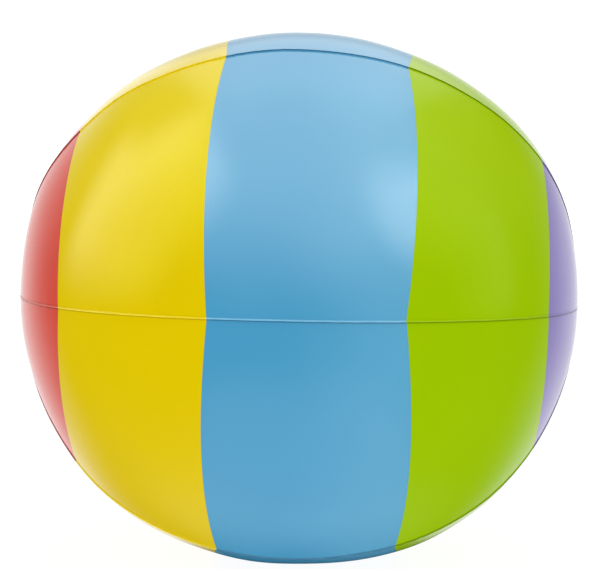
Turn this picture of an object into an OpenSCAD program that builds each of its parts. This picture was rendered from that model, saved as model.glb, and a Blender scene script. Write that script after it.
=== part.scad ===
// Inflatable beach ball: six printed vinyl gores welded edge to edge, a round disc over each pole,
// and a push-in valve in the middle of one disc. The pole axis lies along X, the ball stands on
// its bottom gore, and the origin is in the middle of the flat patch that it rests on.

/* [Ball] */
// Pole to pole, over the gores
pole_span = 878; // [600:1:1100]
// Across two opposite weld lines, halfway between the poles
seam_d = 860; // [600:1:1100]
// How much lower the middle of a gore lies than its two weld lines
crown_drop = 10.5; // [4:0.5:14]
// Fullness of the side profile: 2 is an ellipse, more is squarer
fullness = 2.1; // [2:0.05:2.4]
// Thickness of the vinyl film
film = 0.3; // [0.2:0.05:0.5]
// How far the weight presses the underside flat
rest_sink = 6; // [5:0.5:9]

/* [Weld lines] */
// Height that the trimmed weld stands above the film
fin_h = 2.2; // [1:0.1:4]

/* [End discs] */
// Diameter of the disc over each pole
disc_d = 110; // [90:1:150]
// How far the disc laps over the gore tips
disc_lap = 10; // [6:1:15]
// Room between the disc and the gore tips for the weld
weld_gap = 0.1; // [0.08:0.01:0.2]

/* [Valve seat] */
// Diameter of the valve's foot, welded behind the disc
flange_d = 46; // [40:1:60]
// Thickness of the valve's foot
flange_t = 1; // [0.8:0.1:1.5]
// Diameter of the well that the stem is pushed into
well_d = 28; // [26:0.5:34]
// Ring of the foot that shows inside the hole in the disc
flange_lip = 1; // [0.5:0.1:2]
// Thickness of the soft skirt between foot and stem
skirt_t = 0.5; // [0.3:0.1:0.8]
// Gap between the skirt and the stem's collar
skirt_gap = 0.15; // [0.1:0.05:0.3]

/* [Stem] */
// Bore that one blows into
stem_bore_d = 8.4; // [7:0.1:9]
// Wall of the stem
stem_wall = 1.8; // [1.2:0.1:2]
// Length of the stem
stem_len = 16.5; // [14:0.5:20]
// Width of the collar at the stem's root
collar_w = 1.2; // [0.8:0.1:1.5]
// Thickness of the collar
collar_t = 1.2; // [0.8:0.1:2]

/* [Stopper] */
// Diameter of the stopper's head
head_d = 13.2; // [12:0.1:15]
// Thickness of the stopper's head
head_t = 1.6; // [1.2:0.1:2]
// How deep the pushed-in head lies below the disc
head_recess = 0.1; // [0.1:0.1:1]
// Gap between the head and the stem's mouth
head_gap = 0.2; // [0.1:0.05:0.4]
// Length of the plug below the head
plug_len = 7; // [5:0.5:9]
// Play between the plug and the bore, on the radius
plug_play = 0.06; // [0.02:0.01:0.1]
// Width of the pull tab
tab_w = 7; // [5:0.5:9]
// How far the pull tab reaches past the head
tab_reach = 4.5; // [3:0.5:5.5]

/* [Strap] */
// Width of the strap
strap_w = 3; // [2:0.5:4]
// Thickness of the strap
strap_t = 0.8; // [0.6:0.1:1]
// Radius of the strap's loop, outside
strap_loop_r = 3.2; // [2.6:0.1:3.3]
// Play between the strap's ring and the stem
ring_play = 0.1; // [0.05:0.05:0.2]
// Wall of the strap's ring
ring_wall = 0.9; // [0.7:0.1:1.2]

/* [Check flap] */
// Diameter of the flap
flap_d = 10.4; // [9.5:0.1:11.5]
// Thickness of the flap
flap_t = 0.6; // [0.4:0.1:0.8]
// Gap between the closed flap and the stem
flap_gap = 0.3; // [0.2:0.05:0.4]
// Length of the round bead that the flap turns on
hinge_w = 5; // [3:0.5:7]

/* [Hidden] */

$fn = 64;
gore_count = 6;
half_gore = 180 / gore_count;
pole_r = pole_span / 2;
seam_r = seam_d / 2;
disc_r = disc_d / 2;
tip_r = disc_r - disc_lap;
flange_r = flange_d / 2;
well_r = well_d / 2;
// The disc is flat over the valve's foot, and follows the ball outside it
flat_r = flange_r + 2;
// Height of the ball's middle above the ground
centre_z = seam_r - crown_drop - rest_sink;

// Steps along a gore from tip to tip, and across it from weld to weld
along = 32;
across = 8;
// The fins sink from full height to almost nothing before they reach the disc
fin_fade_w = 25;
// Height left to a fin under the disc, as a share of the room there
fin_end_share = 0.6;
fin_min = weld_gap * fin_end_share;
// Share of the seam radius over which the sections turn from round to six-sided
round_fade = 0.35;

ink_blue = [0.33, 0.64, 0.79];
clear_vinyl = [0.93, 0.94, 0.94];
white_vinyl = [0.96, 0.96, 0.95];

// ---- side profile: |x / pole_r|^fullness + |r / seam_r|^fullness = 1 ----
function profile_x(r) = pole_r * pow(1 - pow(r / seam_r, fullness), 1 / fullness);
function station_r(u) = seam_r * pow(cos(u), 2 / fullness);
function station_x(u) = pole_r * sign(u) * pow(abs(sin(u)), 2 / fullness);
tip_angle = acos(pow(tip_r / seam_r, fullness / 2));

// Outward normal of the side profile, as [along x, along r]
function slope_x(x) = sign(x) * pow(abs(x) / pole_r, fullness - 1) / pole_r;
function slope_r(r) = pow(r / seam_r, fullness - 1) / seam_r;
function normal_x(x, r) = slope_x(x) / norm([slope_x(x), slope_r(r)]);
function normal_r(x, r) = slope_r(r) / norm([slope_x(x), slope_r(r)]);

// Smooth step from 0 to 1
function clamp01(v) = min(1, max(0, v));
function ease(v) = clamp01(v) * clamp01(v) * (3 - 2 * clamp01(v));

// ---- section: an arc between two weld lines, flatter than the circle through them ----
function crown(r) = 1 - crown_drop / seam_r * ease((r - disc_r) / (seam_r * round_fade));
function arc_offset(q) = (q * q - 1) / (2 * (q - cos(half_gore)));
function arc_share(q, a) =
    arc_offset(q) * cos(a) + sqrt(pow(q - arc_offset(q), 2) - pow(arc_offset(q) * sin(a), 2));

function fin_at(r) = fin_min + (fin_h - fin_min) * ease((r - disc_r) / fin_fade_w);

// A point at angle a from the gore's middle, lowered to the flat patch where limit says so
function spot(x, r, a, limit) = [x, r * sin(a), min(r * cos(a), limit)];

// One section of the gore, as a closed ring of points
function ring(u, limit) =
    let (
        x = station_x(u),
        r = station_r(u),
        q = crown(r),
        fin = fin_at(r),
        edge = half_gore - asin(film / r),
        tip_edge = half_gore - asin(film / (r + fin)),
        in_x = x - film * normal_x(x, r),
        in_r = r - film * normal_r(x, r)
    ) concat(
        [spot(in_x, in_r, -half_gore, limit)],
        [spot(x, r + fin, -half_gore, limit)],
        [spot(x, r + fin, -tip_edge, limit)],
        [for (j = [0 : across]) let (a = edge * (2 * j / across - 1))
            spot(x, r * arc_share(q, a), a, limit)],
        [spot(x, r + fin, tip_edge, limit)],
        [spot(x, r + fin, half_gore, limit)],
        [for (j = [across : -1 : 1]) let (a = half_gore * (2 * j / across - 1))
            spot(in_x, in_r * arc_share(q, a), a, limit - film)]
    );

ring_n = 2 * across + 6;
// Places of the ring's points: outer points start at 3, inner ones run back from the end
function outer(j) = 3 + j;
function inner(j) = j == 0 ? 0 : ring_n - j;

module gore_sheet(limit) {
    points = [for (i = [0 : along]) each ring(tip_angle * (2 * i / along - 1), limit)];
    sides = [for (i = [0 : along - 1], k = [0 : ring_n - 1])
        let (
            a = i * ring_n + k,
            b = i * ring_n + (k + 1) % ring_n,
            c = b + ring_n,
            d = a + ring_n
        ) each [[a, b, c], [a, c, d]]];
    last = along * ring_n;
    start_tip = concat(
        [for (j = [0 : across - 1]) each [
            [inner(j), inner(j + 1), outer(j + 1)], [inner(j), outer(j + 1), outer(j)]]],
        [[0, 3, 2], [0, 2, 1]],
        [[inner(across), ring_n - across - 1, outer(across) + 1],
            [inner(across), outer(across) + 1, outer(across)]]);
    end_tip = [for (f = start_tip) [last + f[0], last + f[2], last + f[1]]];
    polyhedron(points, concat(sides, start_tip, end_tip), convexity = 6);
}

// A gore whose middle line lies at angle t, counted from the front over the top
module gore(t, limit = pole_span) {
    color(ink_blue)
        translate([0, 0, centre_z])
            rotate([90 - t, 0, 0])
                gore_sheet(limit);
}

module gore_top() {
    gore(90);
}

module gore_front_upper() {
    gore(30);
}

module gore_front_lower() {
    gore(-30);
}

// The only gore that touches the ground, so its underside is pressed flat
module gore_bottom() {
    gore(-90, centre_z);
}

module gore_back_lower() {
    gore(-150);
}

module gore_back_upper() {
    gore(150);
}

// ---- end discs and valve: local z points out of the ball, 0 is the disc's outer face ----
face_x = profile_x(flat_r) + weld_gap + film;

module at_pole(side) {
    translate([side * face_x, 0, centre_z])
        rotate([0, side * 90, 0])
            children();
}

function disc_h(r) = profile_x(max(r, flat_r)) - profile_x(flat_r);
disc_steps = 10;
rim_radii = [for (i = [0 : disc_steps]) flat_r + (disc_r - flat_r) * i / disc_steps];

module disc_sheet(hole_r) {
    rotate_extrude()
        polygon(concat(
            [[hole_r, 0]],
            [for (r = rim_radii) [r, disc_h(r)]],
            [for (i = [disc_steps : -1 : 0]) [rim_radii[i], disc_h(rim_radii[i]) - film]],
            [[hole_r, -film]]));
}

module end_disc_plain() {
    color(white_vinyl)
        at_pole(-1)
            disc_sheet(0);
}

module end_disc_valve() {
    color(white_vinyl)
        at_pole(1)
            disc_sheet(well_r + flange_lip);
}

module tube(inner_r, outer_r, low, high) {
    translate([0, 0, low])
        difference() {
            cylinder(r = outer_r, h = high - low);
            translate([0, 0, -1])
                cylinder(r = inner_r, h = high - low + 2);
        }
}

flange_low = -film - flange_t;

module valve_flange() {
    color(clear_vinyl)
        at_pole(1)
            tube(well_r, flange_r, flange_low, -film);
}

// Heights down the valve, from the head to the flap
head_top = -head_recess;
head_low = head_top - head_t;
mouth_h = head_low - head_gap;
root_h = mouth_h - stem_len;
bore_r = stem_bore_d / 2;
stem_r = bore_r + stem_wall;
collar_r = stem_r + collar_w;
head_r = head_d / 2;

// Soft funnel that lets the stem be pushed in until the head is flush
module valve_skirt() {
    foot_r = collar_r + skirt_gap;
    color(clear_vinyl)
        at_pole(1)
            rotate_extrude()
                polygon([
                    [well_r, flange_low],
                    [well_r + skirt_t, flange_low],
                    [foot_r + skirt_t, root_h],
                    [foot_r, root_h]
                ]);
}

module valve_stem() {
    color(clear_vinyl)
        at_pole(1)
            difference() {
                union() {
                    translate([0, 0, root_h])
                        cylinder(r = stem_r, h = stem_len);
                    translate([0, 0, root_h])
                        cylinder(r = collar_r, h = collar_t);
                }
                translate([0, 0, root_h - 1])
                    cylinder(r = bore_r, h = stem_len + 2);
            }
}

// Head, plug and pull tab; the tab is as thick as the head and points down
module stopper() {
    tab_end = head_r + tab_reach - tab_w / 2;
    color(clear_vinyl)
        at_pole(1)
            union() {
                translate([0, 0, head_low])
                    cylinder(r = head_r, h = head_t);
                translate([0, 0, head_low - plug_len])
                    cylinder(r = bore_r - plug_play, h = plug_len + head_t / 2);
                translate([0, -tab_w / 2, head_low])
                    cube([tab_end, tab_w, head_t]);
                translate([tab_end, 0, head_low])
                    cylinder(r = tab_w / 2, h = head_t);
            }
}

// The strap leaves the head's top side, loops through the well and ends in a ring on the stem
loop_top = head_low + strap_t;
loop_h = loop_top - strap_loop_r;
ring_low = loop_top - 2 * strap_loop_r;

module stopper_strap() {
    color(clear_vinyl)
        at_pole(1) {
            translate([-head_r, 0, loop_h])
                rotate([90, 0, 0])
                    translate([0, 0, -strap_w / 2])
                        linear_extrude(strap_w)
                            difference() {
                                circle(r = strap_loop_r);
                                circle(r = strap_loop_r - strap_t);
                                translate([0, -strap_loop_r - 1])
                                    square([strap_loop_r + 1, 2 * strap_loop_r + 2]);
                            }
            tube(stem_r + ring_play, stem_r + ring_play + ring_wall, ring_low, ring_low + strap_t);
        }
}

// The flap hangs from a bead above the bore, level with the middle of its own thickness
hinge_h = root_h - flap_gap - flap_t / 2;

module check_flap() {
    color(clear_vinyl)
        at_pole(1)
            union() {
                translate([0, 0, hinge_h - flap_t / 2])
                    cylinder(d = flap_d, h = flap_t);
                translate([-flap_d / 2, hinge_w / 2, hinge_h])
                    rotate([90, 0, 0])
                        cylinder(d = flap_t, h = hinge_w);
            }
}

gore_top();
gore_front_upper();
gore_front_lower();
gore_bottom();
gore_back_lower();
gore_back_upper();
end_disc_plain();
end_disc_valve();
valve_flange();
valve_skirt();
valve_stem();
stopper();
stopper_strap();
check_flap();
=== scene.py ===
import bpy
import numpy as np
from mathutils import Matrix, Vector


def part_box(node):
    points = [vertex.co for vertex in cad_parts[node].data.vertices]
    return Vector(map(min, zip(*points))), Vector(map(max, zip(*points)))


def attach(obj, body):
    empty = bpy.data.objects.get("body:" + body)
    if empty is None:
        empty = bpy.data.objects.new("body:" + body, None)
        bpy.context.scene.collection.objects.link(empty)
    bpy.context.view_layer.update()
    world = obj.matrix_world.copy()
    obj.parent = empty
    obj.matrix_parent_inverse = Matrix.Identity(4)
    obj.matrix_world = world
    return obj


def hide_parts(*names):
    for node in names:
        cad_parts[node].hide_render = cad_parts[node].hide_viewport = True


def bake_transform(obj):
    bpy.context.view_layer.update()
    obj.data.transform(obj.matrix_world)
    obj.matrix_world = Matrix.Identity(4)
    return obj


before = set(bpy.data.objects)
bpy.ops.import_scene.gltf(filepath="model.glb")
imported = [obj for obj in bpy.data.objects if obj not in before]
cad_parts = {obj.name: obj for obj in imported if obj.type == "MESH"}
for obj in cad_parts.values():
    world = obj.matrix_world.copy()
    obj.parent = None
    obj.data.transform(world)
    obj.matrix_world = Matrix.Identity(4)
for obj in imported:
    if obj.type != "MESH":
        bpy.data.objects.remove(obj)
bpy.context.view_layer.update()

# ---------------------------------------------------------------------------------------------
# Printed gores. Six lens-shaped sheets of 0.3 mm vinyl, each printed with five straight stripes,
# welded edge to edge and blown up. Every weld is trimmed to a low fin that stands outward.
# ---------------------------------------------------------------------------------------------
POLE_R = 0.439            # middle of the ball to a pole, over the gores
SEAM_R = 0.430            # middle of the ball to a weld line, halfway between the poles
CROWN_DROP = 0.0105       # how much lower the middle of a gore lies than its welds
FULLNESS = 2.1            # side profile: 2 is an ellipse, more is squarer
FILM = 0.0003
DISC_R = 0.055
TIP_R = 0.045             # radius at which a gore's tip ends, under the disc
HALF_GORE = np.radians(30)
FIN_H = 0.0022
FIN_FADE = 0.025          # length over which a fin sinks before it reaches the disc
ROUND_FADE = 0.35 * SEAM_R
END_FADE = 0.12
TIP_U = np.arccos((TIP_R / SEAM_R) ** (FULLNESS / 2))
CENTRE_Z = (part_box("end_disc_plain")[0].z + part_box("end_disc_plain")[1].z) / 2


def smooth(low, high, value):
    """0 below low, 1 above high, 3v^2 - 2v^3 between."""
    v = np.clip((value - low) / (high - low), 0, 1)
    return v * v * (3 - 2 * v)


def waves(seed, count, wavelength, *where):
    """Sum of seeded plane waves of about that wavelength, scaled to a height of about 1."""
    rng = np.random.default_rng(seed)
    total = 0
    for _ in range(count):
        way = rng.normal(size=len(where))
        way *= 2 * np.pi / (wavelength * rng.uniform(0.7, 1.5)) / np.linalg.norm(way)
        total = total + np.sin(sum(k * w for k, w in zip(way, where)) + rng.uniform(0, 2 * np.pi))
    return total / np.sqrt(count)


def station(u):
    """Place x and weld radius r on |x/POLE_R|^n + |r/SEAM_R|^n = 1, as powers of sin u and cos u."""
    x = POLE_R * np.sign(u) * np.abs(np.sin(u)) ** (2 / FULLNESS)
    return x, SEAM_R * np.cos(u) ** (2 / FULLNESS)


def section(r, a):
    """Radius at angle a from a gore's middle, as a share of r: an arc through both welds."""
    q = 1 - CROWN_DROP / SEAM_R * smooth(DISC_R, DISC_R + ROUND_FADE, r)
    e = (q * q - 1) / (2 * (q - np.cos(HALF_GORE)))
    return e * np.cos(a) + np.sqrt((q - e) ** 2 - (e * np.sin(a)) ** 2)


def settled(x, r, t):
    """Share added to the radius, 0 at the discs: powers of x, most of them times sin t, so that the
    ends of the upper half stand a little fuller than those of the lower half. A bell in x times
    sin^2 t takes some of it off again near the plain end, and a second one low on that side."""
    share = x / POLE_R
    swell = (-0.0597 * share**2 - 0.0127 * share**3 + 0.1384 * share**4) * np.sin(t) + 0.0135 * share**4
    slack = np.exp(-(((share + 0.82) / 0.14) ** 2)) * np.sin(t) ** 2
    flat = np.exp(-(((share + 0.45) / 0.22) ** 2)) * np.minimum(np.sin(t), 0) ** 2
    swell = swell - slack * (0.023 + 0.011 * np.sin(t)) - flat * 0.005
    return swell * smooth(DISC_R, DISC_R + END_FADE, r)


def strayed(x, r, t):
    """Angle added to t: the three front welds wander a little round the ball, by a parabola in x each
    and, low in front, a bell in x."""
    share = x / POLE_R
    stray = 0
    # each weld's angle in degrees, then the fitted start, slope, bend and dip of its wander
    wander = ((60, -0.0037, 0.0259, -0.0066, 0.0), (0, -0.0068, 0.0070, -0.0041, 0.0),
              (-60, 0.0158, -0.0009, 0.0052, -0.022))
    for weld, start, slope, bend, dip in wander:
        off = (np.degrees(t) - weld + 180) % 360 - 180
        near = np.where(np.abs(off) < 60, np.cos(np.radians(1.5 * off)) ** 2, 0)
        stray = stray + near * (start + slope * share + bend * share**2 + dip * np.exp(-((share / 0.2) ** 2)))
    return stray * smooth(DISC_R, DISC_R + END_FADE, r)


def grid_faces(rows, columns, closed):
    """Quads between neighbouring rows of a grid of points; closed joins the last column to the first."""
    i, j = np.meshgrid(np.arange(rows - 1), np.arange(columns if closed else columns - 1), indexing="ij")
    k = (j + 1) % columns
    here, below = i * columns, (i + 1) * columns
    return np.stack([here + j, here + k, below + k, below + j], -1).reshape(-1, 4)


def new_piece(name, points, faces, material, body, nodes):
    """One mesh of those points and faces, smooth, riding on its body and standing for its CAD nodes."""
    mesh = bpy.data.meshes.new(name)
    mesh.from_pydata(points.reshape(-1, 3).tolist(), [], [list(map(int, f)) for f in faces])
    mesh.polygons.foreach_set("use_smooth", np.ones(len(mesh.polygons), bool))
    mesh.materials.append(material)
    mesh.update()
    piece = bpy.data.objects.new(name, mesh)
    bpy.context.scene.collection.objects.link(piece)
    if body:
        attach(piece, body)
    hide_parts(*nodes)
    return piece


ALONG = 420
ACROSS = 48
FILLET = 0.0008
PUCKER = 0.00012
SWAY = 0.00012
DROOP = 0.0012            # how far the tip of a fin at mid height sags below its root
PRINT_PULL = 0.84         # how far the weld draws the print towards the waist
REST_SOFT = 0.0004


def weld_path():
    """Fin outline beside a weld as (distance from the weld plane, height): fillet, side, round tip."""
    turn = np.linspace(0, np.pi / 2, 5)
    foot = np.stack([FILM + FILLET * (1 - np.sin(turn)), FILLET * (1 - np.cos(turn))], 1)
    tip = np.stack([FILM * np.cos(turn), FIN_H - FILM * (1 - np.sin(turn))], 1)
    return np.concatenate([foot, tip])


def make_gore(name, middle_deg, print_shift, material):
    """Outer sheet, two half fins and inner sheet as one closed ring of points at each station."""
    u = np.linspace(-TIP_U, TIP_U, ALONG + 1)[:, None]
    x, r = station(u)
    fin = weld_path()
    # across the gore the points crowd towards the welds
    spread = np.sin(np.linspace(-1, 1, ACROSS + 1) * np.pi / 2)[None]
    edge = HALF_GORE - (FILM + FILLET) / r
    a_film = edge * spread
    a_in = HALF_GORE * spread + 0 * r
    rise = 0.02 + 0.98 * smooth(DISC_R, DISC_R + FIN_FADE, r)
    fin_w, fin_h = fin[:, 0][None], fin[:, 1][None] * rise
    a_fin = HALF_GORE - fin_w / r

    def place(x, r, a, high, sway):
        """Point at angle a from the gore's middle, high above the film, swayed along with its weld."""
        t = np.radians(middle_deg) + a
        radius = r * section(r, a) * (1 + settled(x, r, t))
        gap = np.maximum(HALF_GORE - np.abs(a), 0) * r
        seam = np.round((middle_deg + np.degrees(np.sign(a) * HALF_GORE)) / 60).astype(int) % 6
        ripple = np.zeros(np.broadcast(x, a).shape)
        lean = np.zeros_like(ripple)
        for k in range(6):
            here = seam == k
            if here.any():
                ripple += here * waves(40 + k, 7, 0.016, x)
                lean += here * (SWAY * waves(60 + k, 5, 0.040, x) - DROOP * np.cos(np.radians(60 * k)))
        fade = smooth(DISC_R, DISC_R + FIN_FADE, r)
        soft = 0.0006 * waves(7, 9, 0.16, x, radius * np.cos(t), radius * np.sin(t))
        gather = np.exp(-np.maximum(r - DISC_R, 0) / 0.030) * 0.0006 * (1 - 0.8 * (r < DISC_R))
        gather = gather * waves(90, 6, 0.40, np.cos(t), np.sin(t), np.sign(x))
        radius = radius + PUCKER * ripple * np.exp(-gap / 0.010) * fade + soft * fade + gather + high
        t = t + strayed(x, r, t) + lean * sway * fade / np.maximum(r, 0.05)
        return np.stack([np.broadcast_to(x, radius.shape), -radius * np.cos(t), radius * np.sin(t)], -1)

    def normal_drop(x, r):
        """The film's thickness, split along x and along the radius by the side profile's normal."""
        nx = np.sign(x) * (np.abs(x) / POLE_R) ** (FULLNESS - 1) / POLE_R
        nr = (r / SEAM_R) ** (FULLNESS - 1) / SEAM_R
        size = np.hypot(nx, nr)
        return FILM * nx / size, FILM * nr / size

    drop_x, drop_r = normal_drop(x, r)
    sway = (fin[:, 1] / FIN_H)[None]
    outer = place(x, r, a_film, 0, 0)
    left = place(x, r, -a_fin, fin_h, sway)
    right = place(x, r, a_fin, fin_h, sway)
    inner = place(x, r, a_in, -drop_r, 0)
    inner[..., 0] -= drop_x
    # ring order: left fin from tip to foot, film, right fin from foot to tip, inner film back
    ring = np.concatenate([left[:, ::-1], outer[:, 1:-1], right, inner[:, ::-1]], 1)
    ring[..., 2] += CENTRE_Z
    floor = np.where(np.arange(ring.shape[1]) < ring.shape[1] - ACROSS - 1, 0.0, FILM)
    lift = (ring[..., 2] - floor) / REST_SOFT
    ring[..., 2] = floor + REST_SOFT * np.where(lift > 20, lift, np.log1p(np.exp(np.minimum(lift, 20))))

    count = ring.shape[1]
    faces = grid_faces(ALONG + 1, count, True)[:, ::-1]
    # a cap at each tip: strips between the outer and the inner film, and one face per half fin
    top = np.arange(len(fin) - 1, len(fin) + ACROSS)
    low = np.arange(count - 1, count - 2 - ACROSS, -1)
    strip = np.stack([top[:-1], low[:-1], low[1:], top[1:]], 1).tolist()
    strip.append([count - 1] + list(range(len(fin) - 1, -1, -1)))
    strip.append([count - 1 - ACROSS] + list(range(count - 2 - ACROSS, len(fin) + ACROSS - 2, -1)))
    last = ALONG * count
    caps = [f[::-1] for f in strip] + [[last + k for k in f] for f in strip]
    piece = new_piece(name, ring, faces.tolist() + caps, material, "ball", [name])

    # where each point lies on the flat print, and how far it is from its weld (below 0 on the fin)
    a_all = np.concatenate([-a_fin[:, ::-1], a_film[:, 1:-1], a_fin, a_in[:, ::-1]], 1)
    pull = PRINT_PULL * (1 - np.cos(a_all)) * np.maximum(1 - (x / POLE_R) ** 2, 0) ** 2.6
    run = x * (1 + pull) + print_shift
    gap = (HALF_GORE - np.abs(a_all)) * r
    gap[:, : len(fin)] = -fin_h[:, ::-1]
    gap[:, len(fin) + ACROSS - 1: 2 * len(fin) + ACROSS - 1] = -fin_h
    for label, values in (("print_run", run), ("weld_gap", gap)):
        attribute = piece.data.attributes.new(label, "FLOAT", "POINT")
        attribute.data.foreach_set("value", values.astype(np.float32).ravel())

    # the flat cut: arc lengths along the middle line and across each station, fins included
    middle = np.stack([x[:, 0], r[:, 0] * section(r[:, 0], 0.0)], 1)
    step = np.linalg.norm(np.diff(middle, axis=0), axis=1)
    q = section(r[:, 0], 0.0)
    e = (q * q - 1) / (2 * (q - np.cos(HALF_GORE)) + 1e-12)
    width = 2 * r[:, 0] * (q - e) * np.arcsin(np.sin(HALF_GORE) / (q - e)) + 2 * FIN_H
    area = float((step * (width[1:] + width[:-1]) / 2).sum())
    return piece


class Wire:
    """A number that varies over a surface. Arithmetic on it adds Math nodes."""

    def __init__(self, recipe, socket):
        self.recipe = recipe
        self.socket = socket

    def math(self, operation, first, second):
        return self.recipe.node("Math", {"operation": operation}, {0: first, 1: second})

    def __add__(self, other):
        return self.math("ADD", self, other)

    def __radd__(self, other):
        return self.math("ADD", other, self)

    def __sub__(self, other):
        return self.math("SUBTRACT", self, other)

    def __rsub__(self, other):
        return self.math("SUBTRACT", other, self)

    def __mul__(self, other):
        return self.math("MULTIPLY", self, other)

    def __rmul__(self, other):
        return self.math("MULTIPLY", other, self)

    def __abs__(self):
        return self.math("ABSOLUTE", self, 0.0)

    def step(self, low, high):
        """0 below low and 1 above high, eased between; low may be the larger."""
        settings = {"interpolation_type": "SMOOTHSTEP"}
        if low > high:
            return 1 - self.step(high, low)
        return self.recipe.node("MapRange", settings, {"Value": self, "From Min": low, "From Max": high})


class Recipe:
    """The nodes of one material or world."""

    def __init__(self, tree):
        self.tree = tree
        tree.nodes.clear()

    def node(self, kind, settings, values, output=0):
        """A node of that type: its settings are made first, then its sockets filled or linked."""
        made = self.tree.nodes.new("ShaderNode" + kind)
        for label, value in settings.items():
            setattr(made, label, value)
        for label, value in values.items():
            if isinstance(value, Wire):
                self.tree.links.new(value.socket, made.inputs[label])
            else:
                made.inputs[label].default_value = value
        return Wire(self, made.outputs[output]) if made.outputs else None

    def blend(self, share, first, second):
        """Colour first where share is 0, second where it is 1."""
        return self.node("Mix", {"data_type": "RGBA"}, {0: share, 6: first, 7: second}, 2)

    def darken(self, colour, keep):
        """The colour times a grey."""
        grey = self.node("CombineColor", {}, {0: keep, 1: keep, 2: keep})
        settings = {"data_type": "RGBA", "blend_type": "MULTIPLY"}
        return self.node("Mix", settings, {0: 1.0, 6: colour, 7: grey}, 2)

    def attribute(self, label):
        return self.node("Attribute", {"attribute_name": label}, {}, 2)

    def noise(self, scale, detail):
        """Noise from 0 to 1 in the ball's own space; scale is in features a metre."""
        where = self.node("TexCoord", {}, {}, 3)
        return self.node("TexNoise", {}, {"Vector": where, "Scale": scale, "Detail": detail})


def srgb(red, green, blue):
    """A colour from 0 to 255 as the linear colour that the nodes take."""
    c = np.array([red, green, blue]) / 255
    return (*np.where(c < 0.04045, c / 12.92, ((c + 0.055) / 1.055) ** 2.4), 1.0)


# from the plain pole to the pole with the valve: each ink, a lighter copy of it painted as light on faces
# that look up, its fused fin painted in shade and in light, and the tint and index of its gloss. All were set
# by trial.
# The tints and the green's low index make less gloss than plain vinyl has
INKS = [
    (srgb(216, 80, 66), srgb(218, 84, 70), srgb(96, 24, 28), srgb(222, 104, 84),
     (0.80, 0.70, 0.55, 1), 1.46),
    (srgb(226, 198, 0), srgb(232, 209, 0), srgb(248, 224, 70), srgb(236, 212, 34),
     (0.32, 0.40, 0.06, 1), 1.40),
    (srgb(72, 157, 200), srgb(74, 159, 202), srgb(52, 108, 144), srgb(104, 184, 220),
     (1.00, 1.00, 0.90, 1), 1.46),
    (srgb(157, 196, 0), srgb(169, 204, 0), srgb(96, 130, 20), srgb(160, 198, 8),
     (0.28, 0.33, 0.02, 1), 1.24),
    (srgb(138, 126, 187), srgb(140, 128, 188), srgb(50, 34, 62), srgb(146, 132, 190),
     (0.60, 0.60, 0.60, 1), 1.46),
]
PALE_BLUE = srgb(96, 172, 209)    # the blue thins out a little towards its green edge
INK_EDGES = np.array([-0.7782, -0.2718, 0.3951, 0.8542]) * SEAM_R
INK_BLEED = 0.0004


def make_printed_vinyl():
    """Stripes across the gore with a hairline of overprint, glossy calendered film. Painted light lightens
    fins and film that face up; painted shade darkens fins that face down, film that faces down and film under
    a drooping fin.
    """
    material = bpy.data.materials.new("printed_vinyl")
    material.use_nodes = True
    mix = Recipe(material.node_tree)
    run = mix.attribute("print_run")
    weld = mix.attribute("weld_gap")
    cloud = mix.noise(9.0, 3.0)
    speck = mix.noise(420.0, 2.0)
    on_fin = weld.step(-0.0002, -0.0007)
    beside_weld = weld.step(0.0030, 0.0006)
    overprint = 0.0
    for edge in INK_EDGES:
        overprint = abs(run - float(edge)).step(0.0011, 0.0004) + overprint
    facing = mix.node("NewGeometry", {}, {}, 1)
    upward = mix.node("SeparateXYZ", {}, {0: facing}, 2)
    # painted light and shade on the fins: lighter as they face up, darker as they face down
    lit = upward.step(-0.2, 0.8)
    # painted light: film that faces up takes the lighter copy of its ink
    glow = upward.step(0.15, 0.75)
    # shade painted on upright film beside a weld, where the drooping fin would keep the light off
    crease = weld.step(0.0038, 0.0020) * upward.step(0.10, -0.04) * upward.step(-0.70, -0.40)
    # painted shade on film that faces down
    underside_shade = upward.step(-0.90, -1.0)
    keep = 1.0 - overprint * 0.08 - beside_weld * 0.02 - crease * 0.30 - underside_shade * 0.10
    keep = keep + (cloud - 0.5) * 0.05 + (speck - 0.5) * 0.02
    rough = 0.13 + (cloud - 0.5) * 0.05 + (speck - 0.5) * 0.04 + beside_weld * 0.08 + on_fin * 0.12
    bump = mix.node("Bump", {}, {"Strength": 0.10, "Distance": 0.0003, "Height": mix.noise(1500.0, 2.0)})
    shader = None
    for edge, (ink, ink_painted_light, fin_painted_shade, fin_painted_light, gloss_tint, index) in zip([None, *INK_EDGES], INKS):
        # each fin is painted in shade or in light by which way it faces
        fin = mix.blend(lit, fin_painted_shade, fin_painted_light)
        colour = mix.blend(glow, ink, ink_painted_light)
        if ink == INKS[2][0]:
            colour = mix.blend(run.step(-0.02, 0.17) * 0.8, colour, PALE_BLUE)
        film = mix.node("BsdfPrincipled", {}, {
            "Base Color": mix.blend(on_fin, mix.darken(colour, keep), fin), "Roughness": rough,
            "Normal": bump, "IOR": index, "Specular Tint": gloss_tint,
        })
        if shader is None:
            shader = film
        else:
            share = run.step(float(edge) - INK_BLEED, float(edge) + INK_BLEED)
            shader = mix.node("MixShader", {}, {0: share, 1: shader, 2: film})
    mix.node("OutputMaterial", {}, {"Surface": shader})
    return material


printed_vinyl = make_printed_vinyl()
GORES = {
    "gore_front_upper": (30, -0.0006),
    "gore_top": (90, -0.0010),
    "gore_back_upper": (150, 0.0015),
    "gore_back_lower": (210, -0.0008),
    "gore_bottom": (270, 0.0012),
    "gore_front_lower": (330, -0.0013),
}
for gore_name, (gore_middle, shift) in GORES.items():
    make_gore(gore_name, gore_middle, shift, printed_vinyl)

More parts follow.
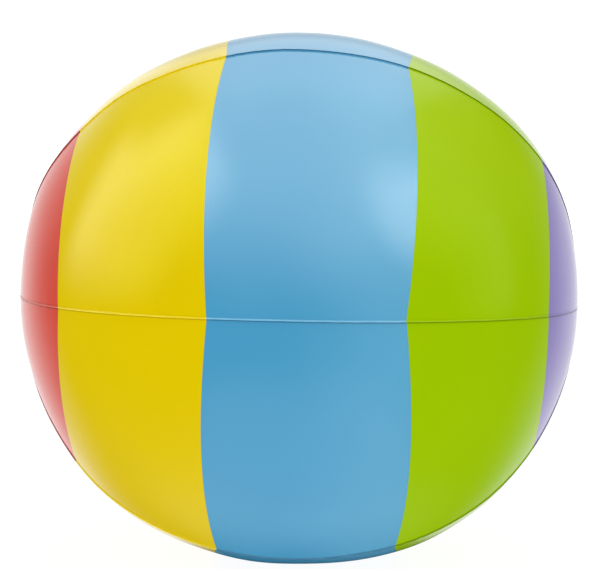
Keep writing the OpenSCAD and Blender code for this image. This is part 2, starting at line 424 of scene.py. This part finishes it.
# ---------------------------------------------------------------------------------------------
# End discs. A round of plain white vinyl is welded over the gore tips at each pole; the weld
# leaves a pressed ring near its rim. The disc at the +X pole has a hole for the valve.
# ---------------------------------------------------------------------------------------------
FLAT_R = 0.025            # the disc is flat inside this radius
VALVE_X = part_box("end_disc_valve")[1].x
HOLE_R = 0.015


def make_white_vinyl():
    """Plain white film, a little grey in its weld ring, glossy."""
    material = bpy.data.materials.new("white_vinyl")
    material.use_nodes = True
    mix = Recipe(material.node_tree)
    ring = mix.attribute("weld_ring")
    cloud = mix.noise(30.0, 3.0)
    speck = mix.noise(500.0, 2.0)
    keep = 1.0 - ring * 0.06 + (cloud - 0.5) * 0.04 + (speck - 0.5) * 0.02
    colour = mix.darken(srgb(243, 243, 241), keep)
    rough = 0.16 + (cloud - 0.5) * 0.06 + ring * 0.14
    bump = mix.node("Bump", {}, {"Strength": 0.10, "Distance": 0.0003, "Height": mix.noise(1500.0, 2.0)})
    shader = mix.node("BsdfPrincipled", {}, {
        "Base Color": colour, "Roughness": rough, "Normal": bump, "IOR": 1.46,
    })
    mix.node("OutputMaterial", {}, {"Surface": shader})
    return material


def dome_drop(r):
    """How far the ball's profile lies below the flat middle of the disc, at radius r."""
    x = POLE_R * (1 - (np.maximum(r, FLAT_R) / SEAM_R) ** FULLNESS) ** (1 / FULLNESS)
    return POLE_R * (1 - (FLAT_R / SEAM_R) ** FULLNESS) ** (1 / FULLNESS) - x


def make_disc(name, side, hole_r, material):
    """Film carried round the pole axis: flat middle, dome, pressed weld ring, round rim, and its back."""
    start = max(hole_r, 0.0004)
    r = np.concatenate([np.linspace(start, 0.046, 24), np.linspace(0.0465, DISC_R, 30)[:-1], [DISC_R]])
    turn = np.linspace(0, 2 * np.pi, 241)[:-1]
    rr, tt = np.meshgrid(r, turn, indexing="ij")
    pressed = smooth(0.0478, 0.0484, rr) * (1 - smooth(0.0526, 0.0532, rr))
    ridge_gap = np.abs((tt + HALF_GORE) % (2 * HALF_GORE) - HALF_GORE) * rr
    ridge = 0.00045 * np.exp(-((ridge_gap / 0.0013) ** 2)) * smooth(0.044, 0.050, rr)
    ripple = 0.00012 * waves(11, 8, 0.35, np.cos(tt), np.sin(tt)) * smooth(0.03, 0.05, rr)
    high = -dome_drop(rr) - 0.00010 * pressed + ridge + ripple * (1 - pressed)
    front = np.stack([side * (VALVE_X + high), -rr * np.cos(tt), CENTRE_Z + rr * np.sin(tt)], -1)
    back = front.copy()
    back[..., 0] -= side * FILM
    rim = (front[-1:] + back[-1:]) / 2
    rim[..., 1:] = (rim[..., 1:] - [0, CENTRE_Z]) * (1 + 0.00012 / DISC_R) + [0, CENTRE_Z]
    rows = np.concatenate([front, rim, back[::-1]])
    count = len(turn)
    faces = grid_faces(len(rows), count, True).tolist()
    if hole_r > 0:
        faces += [[(len(rows) - 1) * count + k, (len(rows) - 1) * count + (k + 1) % count, (k + 1) % count, k]
                  for k in range(count)]
    else:
        faces += [list(range(count))[::-1], [(len(rows) - 1) * count + k for k in range(count)]]
    if side < 0:
        faces = [f[::-1] for f in faces]
    piece = new_piece(name, rows, faces, material, "ball", [name])
    ring = np.concatenate([pressed, pressed[-1:], pressed[::-1]])
    attribute = piece.data.attributes.new("weld_ring", "FLOAT", "POINT")
    attribute.data.foreach_set("value", ring.astype(np.float32).ravel())
    return piece


white_vinyl = make_white_vinyl()
make_disc("end_disc_plain", -1, 0.0, white_vinyl)
make_disc("end_disc_valve", 1, HOLE_R, white_vinyl)

# ---------------------------------------------------------------------------------------------
# Valve. Soft clear vinyl mouldings: a foot welded behind the disc, a skirt that folds the stem
# in, the stem with its stopper on a strap, and a flap inside the stem's root.
# ---------------------------------------------------------------------------------------------
FLANGE_R = 0.023
WELL_R = 0.014
FLANGE_T = 0.001
BORE_R = 0.0042
STEM_R = 0.006
COLLAR_R = 0.0072
COLLAR_T = 0.0012
STEM_LEN = 0.0165
HEAD_R = 0.0066
HEAD_T = 0.0016
HEAD_RECESS = 0.0001
HEAD_GAP = 0.0002
PLUG_R = 0.00414
PLUG_LEN = 0.007
TAB_HALF = 0.0035
TAB_REACH = 0.0045
HEAD_LOW = -HEAD_RECESS - HEAD_T
MOUTH = HEAD_LOW - HEAD_GAP
ROOT = MOUTH - STEM_LEN
SKIRT_T = 0.0005
SKIRT_GAP = 0.00015
MOULD_EDGE = 0.0003       # radius of a moulding's edges


def make_clear_vinyl():
    """Milky clear moulding, softly glossy, with faint flow marks."""
    material = bpy.data.materials.new("clear_vinyl")
    material.use_nodes = True
    mix = Recipe(material.node_tree)
    cloud = mix.noise(160.0, 3.0)
    colour = mix.darken(srgb(226, 232, 234), 0.97 + (cloud - 0.5) * 0.08)
    rough = 0.22 + (cloud - 0.5) * 0.12
    bump = mix.node("Bump", {}, {"Strength": 0.15, "Distance": 0.0002, "Height": mix.noise(900.0, 2.0)})
    shader = mix.node("BsdfPrincipled", {}, {
        "Base Color": colour, "Roughness": rough, "Normal": bump, "IOR": 1.5, "Transmission Weight": 0.35,
    })
    mix.node("OutputMaterial", {}, {"Surface": shader})
    return material


def rounded(corners, radius, steps=5):
    """A closed outline with each corner turned into an arc of that radius."""
    corners = np.array(corners, float)
    path = []
    for before, here, after in zip(np.roll(corners, 1, 0), corners, np.roll(corners, -1, 0)):
        to_a, to_b = before - here, after - here
        size_a, size_b = np.linalg.norm(to_a), np.linalg.norm(to_b)
        to_a, to_b = to_a / size_a, to_b / size_b
        half = np.arccos(np.clip(to_a @ to_b, -1, 1)) / 2
        cut = min(radius / np.tan(half), 0.45 * size_a, 0.45 * size_b)
        s = np.linspace(0, 1, steps)[:, None]
        start, end = here + to_a * cut, here + to_b * cut
        path.append((1 - s) ** 2 * start + 2 * s * (1 - s) * here + s * s * end)
    return np.concatenate(path)


def on_axis(r, high, turn):
    """Points at radius r, height high outside the disc's face and angle turn about the pole axis."""
    return np.stack([VALVE_X + high + 0 * turn, r * np.sin(turn), CENTRE_Z - r * np.cos(turn)], -1)


def ring_piece(name, outline, body, nodes):
    """A closed outline of (radius, height), listed counter-clockwise, carried round the pole axis."""
    turn = np.linspace(0, 2 * np.pi, 129)[:-1]
    points = on_axis(outline[None, :, 0], outline[None, :, 1], turn[:, None])
    rows, columns = points.shape[:2]
    points = np.concatenate([points, points[:1]])
    faces = grid_faces(rows + 1, columns, True)[:, ::-1] % (rows * columns)
    return new_piece(name, points[:-1], faces, clear_vinyl, body, nodes)


clear_vinyl = make_clear_vinyl()
flange_low = -FILM - FLANGE_T
flange_corners = [(WELL_R, flange_low), (FLANGE_R, flange_low), (FLANGE_R, -FILM), (WELL_R, -FILM)]
ring_piece("valve_flange", rounded(flange_corners, MOULD_EDGE), "ball", ["valve_flange"])


def skirt_outline():
    """A thin web that leaves the foot steeply, sweeps down and turns in to the stem's collar."""
    s = np.linspace(0, 1, 24)
    foot_r = COLLAR_R + SKIRT_GAP
    r = WELL_R + (foot_r - WELL_R) * (0.75 * s + 0.25 * s**3)
    high = flange_low + (ROOT - flange_low) * s
    return np.concatenate([np.stack([r, high], 1), np.stack([r + SKIRT_T, high], 1)[::-1]])


skirt = ring_piece("valve_skirt", skirt_outline(), None, ["valve_skirt"])
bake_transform(skirt)

stem_corners = [(BORE_R, ROOT), (COLLAR_R, ROOT), (COLLAR_R, ROOT + COLLAR_T), (STEM_R, ROOT + COLLAR_T),
                (STEM_R, MOUTH), (BORE_R, MOUTH)]
ring_piece("valve_stem", rounded(stem_corners, MOULD_EDGE), "valve_stem", ["valve_stem"])


def make_stopper():
    """Rows of points round the axis: head with its tab, then the plug. Each is an outline less an inset."""
    turn = np.linspace(0, 2 * np.pi, 181)[:-1]
    tab_end = HEAD_R + TAB_REACH - TAB_HALF
    from_tab = np.abs((turn + np.pi) % (2 * np.pi) - np.pi)
    across_tab = np.maximum(TAB_HALF**2 - (tab_end * np.sin(from_tab)) ** 2, 0)
    end_arc = tab_end * np.cos(from_tab) + np.sqrt(across_tab)
    side = TAB_HALF / np.maximum(np.sin(from_tab), 1e-3)
    tab = np.where(np.tan(np.minimum(from_tab, 1.5)) < TAB_HALF / tab_end, end_arc, side)
    outline = np.where(from_tab < np.pi / 2, np.maximum(HEAD_R, tab), HEAD_R)
    circle = np.full_like(turn, PLUG_R)
    arc = np.linspace(0, np.pi / 2, 6)
    edge, nose, root_fillet = 0.0005, 0.0008, 0.0003
    rows = [(outline * share, -HEAD_RECESS) for share in (0.25, 0.5, 0.75)]
    rows += [(outline - edge * (1 - np.sin(a)), -HEAD_RECESS - edge * (1 - np.cos(a))) for a in arc]
    rows += [(outline - edge * (1 - np.cos(a)), HEAD_LOW + edge * (1 - np.sin(a))) for a in arc]
    rows += [(circle + root_fillet * (1 - np.sin(a)), HEAD_LOW - root_fillet * (1 - np.cos(a)) * 0.5)
             for a in arc]
    rows += [(circle - nose * (1 - np.cos(a)), HEAD_LOW - PLUG_LEN + nose * (1 - np.sin(a))) for a in arc]
    rows += [(circle * 0.4, HEAD_LOW - PLUG_LEN)]
    points = np.stack([on_axis(r, np.full_like(turn, high), turn) for r, high in rows])
    count = len(turn)
    faces = [f[::-1] for f in grid_faces(len(rows), count, True).tolist()]
    faces += [list(range(count)), [(len(rows) - 1) * count + k for k in range(count)][::-1]]
    return new_piece("stopper", points, faces, clear_vinyl, "stopper", ["stopper"])


make_stopper()

STRAP_W = 0.003
STRAP_T = 0.0008
LOOP_R = 0.0032
RING_PLAY = 0.0001
RING_WALL = 0.0009


def make_strap():
    """A flat strap round a half circle above the stem, and the ring that holds it to the stem."""
    loop_high = HEAD_LOW + STRAP_T - LOOP_R
    bend = np.linspace(np.pi / 2, -np.pi / 2, 25)
    section_path = rounded([(-STRAP_W / 2, -STRAP_T / 2), (STRAP_W / 2, -STRAP_T / 2),
                            (STRAP_W / 2, STRAP_T / 2), (-STRAP_W / 2, STRAP_T / 2)], 0.0003, 4)
    along = LOOP_R - STRAP_T / 2 + section_path[None, :, 1]
    up = HEAD_R + along * np.cos(bend)[:, None]
    high = loop_high + along * np.sin(bend)[:, None]
    y = np.broadcast_to(section_path[None, :, 0], up.shape)
    strap = np.stack([VALVE_X + high, y, CENTRE_Z + up], -1)
    rows, columns = strap.shape[:2]
    strap_faces = grid_faces(rows, columns, True).tolist()
    strap_faces += [list(range(columns))[::-1], [(rows - 1) * columns + k for k in range(columns)]]
    low = loop_high - LOOP_R
    inner, outer = STEM_R + RING_PLAY, STEM_R + RING_PLAY + RING_WALL
    outline = rounded([(inner, low), (outer, low), (outer, low + STRAP_T), (inner, low + STRAP_T)], 0.0002, 4)
    turn = np.linspace(0, 2 * np.pi, 97)[:-1]
    ring = on_axis(outline[None, :, 0], outline[None, :, 1], turn[:, None])
    offset = rows * columns
    ring_faces = grid_faces(len(turn) + 1, len(outline), True) % (len(turn) * len(outline)) + offset
    points = np.concatenate([strap.reshape(-1, 3), ring.reshape(-1, 3)])
    faces = [f[::-1] for f in strap_faces + ring_faces.tolist()]
    piece = new_piece("stopper_strap", points, faces, clear_vinyl, None,
                      ["stopper_strap"])
    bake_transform(piece)
    return piece


make_strap()
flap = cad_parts["check_flap"]
flap.data.materials.clear()
flap.data.materials.append(clear_vinyl)

# ---------------------------------------------------------------------------------------------
# Studio. A plain white floor in an even white surround. A large lit tent, seen only as gloss on
# the ball, is bright overhead and behind, and dark low in front, where the lens looks in.
# ---------------------------------------------------------------------------------------------
FLOOR_HALF = 30.0
FLOOR_BELOW = 0.0005      # the floor lies this far under the ball
TENT_R = 12.0


def make_floor():
    """A wide white sheet, nearly all of it glow, so that the contact shadow stays faint."""
    mesh = bpy.data.meshes.new("floor")
    s = FLOOR_HALF
    low = -FLOOR_BELOW
    mesh.from_pydata([(-s, -s, low), (s, -s, low), (s, s, low), (-s, s, low)], [], [(0, 1, 2, 3)])
    floor = bpy.data.objects.new("floor", mesh)
    bpy.context.scene.collection.objects.link(floor)
    floor.visible_glossy = False
    material = bpy.data.materials.new("floor_white")
    material.use_nodes = True
    mix = Recipe(material.node_tree)
    glow = mix.node("Emission", {}, {"Color": (1, 1, 1, 1), "Strength": 0.94})
    sheet = mix.node("BsdfDiffuse", {}, {"Color": (0.10, 0.10, 0.10, 1)})
    mix.node("OutputMaterial", {}, {"Surface": mix.node("AddShader", {}, {0: glow, 1: sheet})})
    mesh.materials.append(material)


def make_surround():
    """Even white light from all sides, a little stronger from above. It adds no gloss, and the
    backdrop looks brighter than the light that it gives."""
    world = bpy.data.worlds.new("surround")
    world.use_nodes = True
    bpy.context.scene.world = world
    world.cycles_visibility.glossy = False
    mix = Recipe(world.node_tree)
    way = mix.node("TexCoord", {}, {}, 0)
    up = mix.node("SeparateXYZ", {}, {0: way}, 2)
    side = mix.node("SeparateXYZ", {}, {0: way}, 0)
    camera = mix.node("LightPath", {}, {}, 0)
    light = 0.98 + up * 0.05 - abs(side).step(0.5, 1.0) * 0.16
    shown = mix.node("Background", {}, {"Color": (1, 1, 1, 1), "Strength": light + camera * 0.2})
    mix.node("OutputWorld", {}, {"Surface": shown})


def make_tent():
    """A ball of light round everything; its glow depends on the direction from the middle."""
    turn, rise = np.meshgrid(np.linspace(0, 2 * np.pi, 65)[:-1], np.linspace(-np.pi / 2, np.pi / 2, 33))
    flat = np.cos(rise)
    points = TENT_R * np.stack([flat * np.cos(turn), flat * np.sin(turn), np.sin(rise)], -1)
    mesh = bpy.data.meshes.new("tent")
    mesh.from_pydata(points.reshape(-1, 3).tolist(), [], grid_faces(*turn.shape, True).tolist())
    tent = bpy.data.objects.new("tent", mesh)
    bpy.context.scene.collection.objects.link(tent)
    tent.visible_camera = tent.visible_diffuse = tent.visible_transmission = tent.visible_shadow = False
    material = bpy.data.materials.new("tent_light")
    material.use_nodes = True
    mix = Recipe(material.node_tree)
    where = mix.node("TexCoord", {}, {}, 3)
    way = mix.node("VectorMath", {"operation": "NORMALIZE"}, {0: where})
    split = mix.node("SeparateXYZ", {}, {0: way})
    x, y, z = (Wire(mix, split.socket.node.outputs[k]) for k in range(3))
    back = y.step(-0.1, 0.2)
    overhead = 3.9 - y.step(0.0, 0.8) * 3.0 - x.step(-0.2, -0.7) * 1.2 - x.step(0.25, 0.75) * 1.7
    above = z.step(0.06, 0.88) * overhead
    above = above * (1 - x.step(-0.40, -0.50) * back * y.step(0.85, 0.6) * 0.7)
    above = above * (1 - x.step(0.44, 0.52) * back * 0.7)
    left_box = x.step(-0.28, -0.52) * z.step(0.03, 0.35) * z.step(0.97, 0.8)
    left_box = left_box * y.step(0.28, 0.0) * y.step(-0.75, -0.42) * 4.6
    left_box = left_box * (1 - z.step(0.62, 0.78) * y.step(-0.15, 0.1))
    aside = mix.node("VectorMath", {"operation": "DISTANCE"}, {0: way, 1: (0.62, -0.45, 0.65)}, 1)
    right_box = aside.step(0.40, 0.10) * 4.2
    strip = x.step(0.4, 0.7) * y.step(-0.55, -0.30) * y.step(0.08, -0.15)
    strip = strip * z.step(0.04, 0.16) * z.step(0.66, 0.48) * 2.2
    low = (z + abs(x).step(0.05, 0.25) * 0.5).step(-0.25, 0.10)
    high = (z - x.step(-0.2, -0.35) * 0.3).step(0.60, 0.10)
    behind = y.step(0.2, 0.8) * low * high * (1.04 - x.step(-0.5, 0.5) * 0.04)
    crown = y.step(0.3, 0.6) * z.step(0.40, 0.62) * x.step(0.5, 0.35) * x.step(-0.35, -0.2) * 0.75
    underfoot = 1.05 - x.step(-0.1, 0.4) * 0.30 - abs(x).step(0.35, 0.7) * 0.7
    below = z.step(-0.35, -0.8) * (1 - y.step(-0.05, 0.65)) * underfoot
    light = 0.01 + above + left_box + right_box + strip + below + behind + crown
    glow = mix.node("Emission", {}, {"Color": (1, 1, 1, 1), "Strength": light})
    mix.node("OutputMaterial", {}, {"Surface": glow})
    mesh.materials.append(material)


make_floor()
make_surround()
make_tent()

# ---------------------------------------------------------------------------------------------
# Camera. It stands about five ball radii off, a little above the middle of the ball.
# ---------------------------------------------------------------------------------------------
CAMERA_FAR = 5.341 * SEAM_R
LENS = 85.5
AZIMUTH, ELEVATION, ROLL = np.radians([-2.235, 3.272, -1.370])
AIM_SIDE, AIM_UP = -0.0010, 0.0200


def turned(axis, angle):
    return Matrix.Rotation(angle, 3, axis)


to_lens = turned("Y", -ROLL) @ turned("X", ELEVATION) @ turned("Z", AZIMUTH)
to_ball = to_lens.transposed()
camera_data = bpy.data.cameras.new("camera")
camera_data.lens = LENS
camera_data.sensor_width = 36
camera = bpy.data.objects.new("camera", camera_data)
bpy.context.scene.collection.objects.link(camera)
stand = Vector((0, 0, CENTRE_Z)) + to_ball @ Vector((-AIM_SIDE, -CAMERA_FAR, AIM_UP))
facing = Matrix(((1, 0, 0), (0, 0, -1), (0, 1, 0)))
camera.matrix_world = Matrix.Translation(stand) @ (to_ball @ facing).to_4x4()
bpy.context.scene.camera = camera
bpy.context.scene.view_settings.view_transform = "Standard"
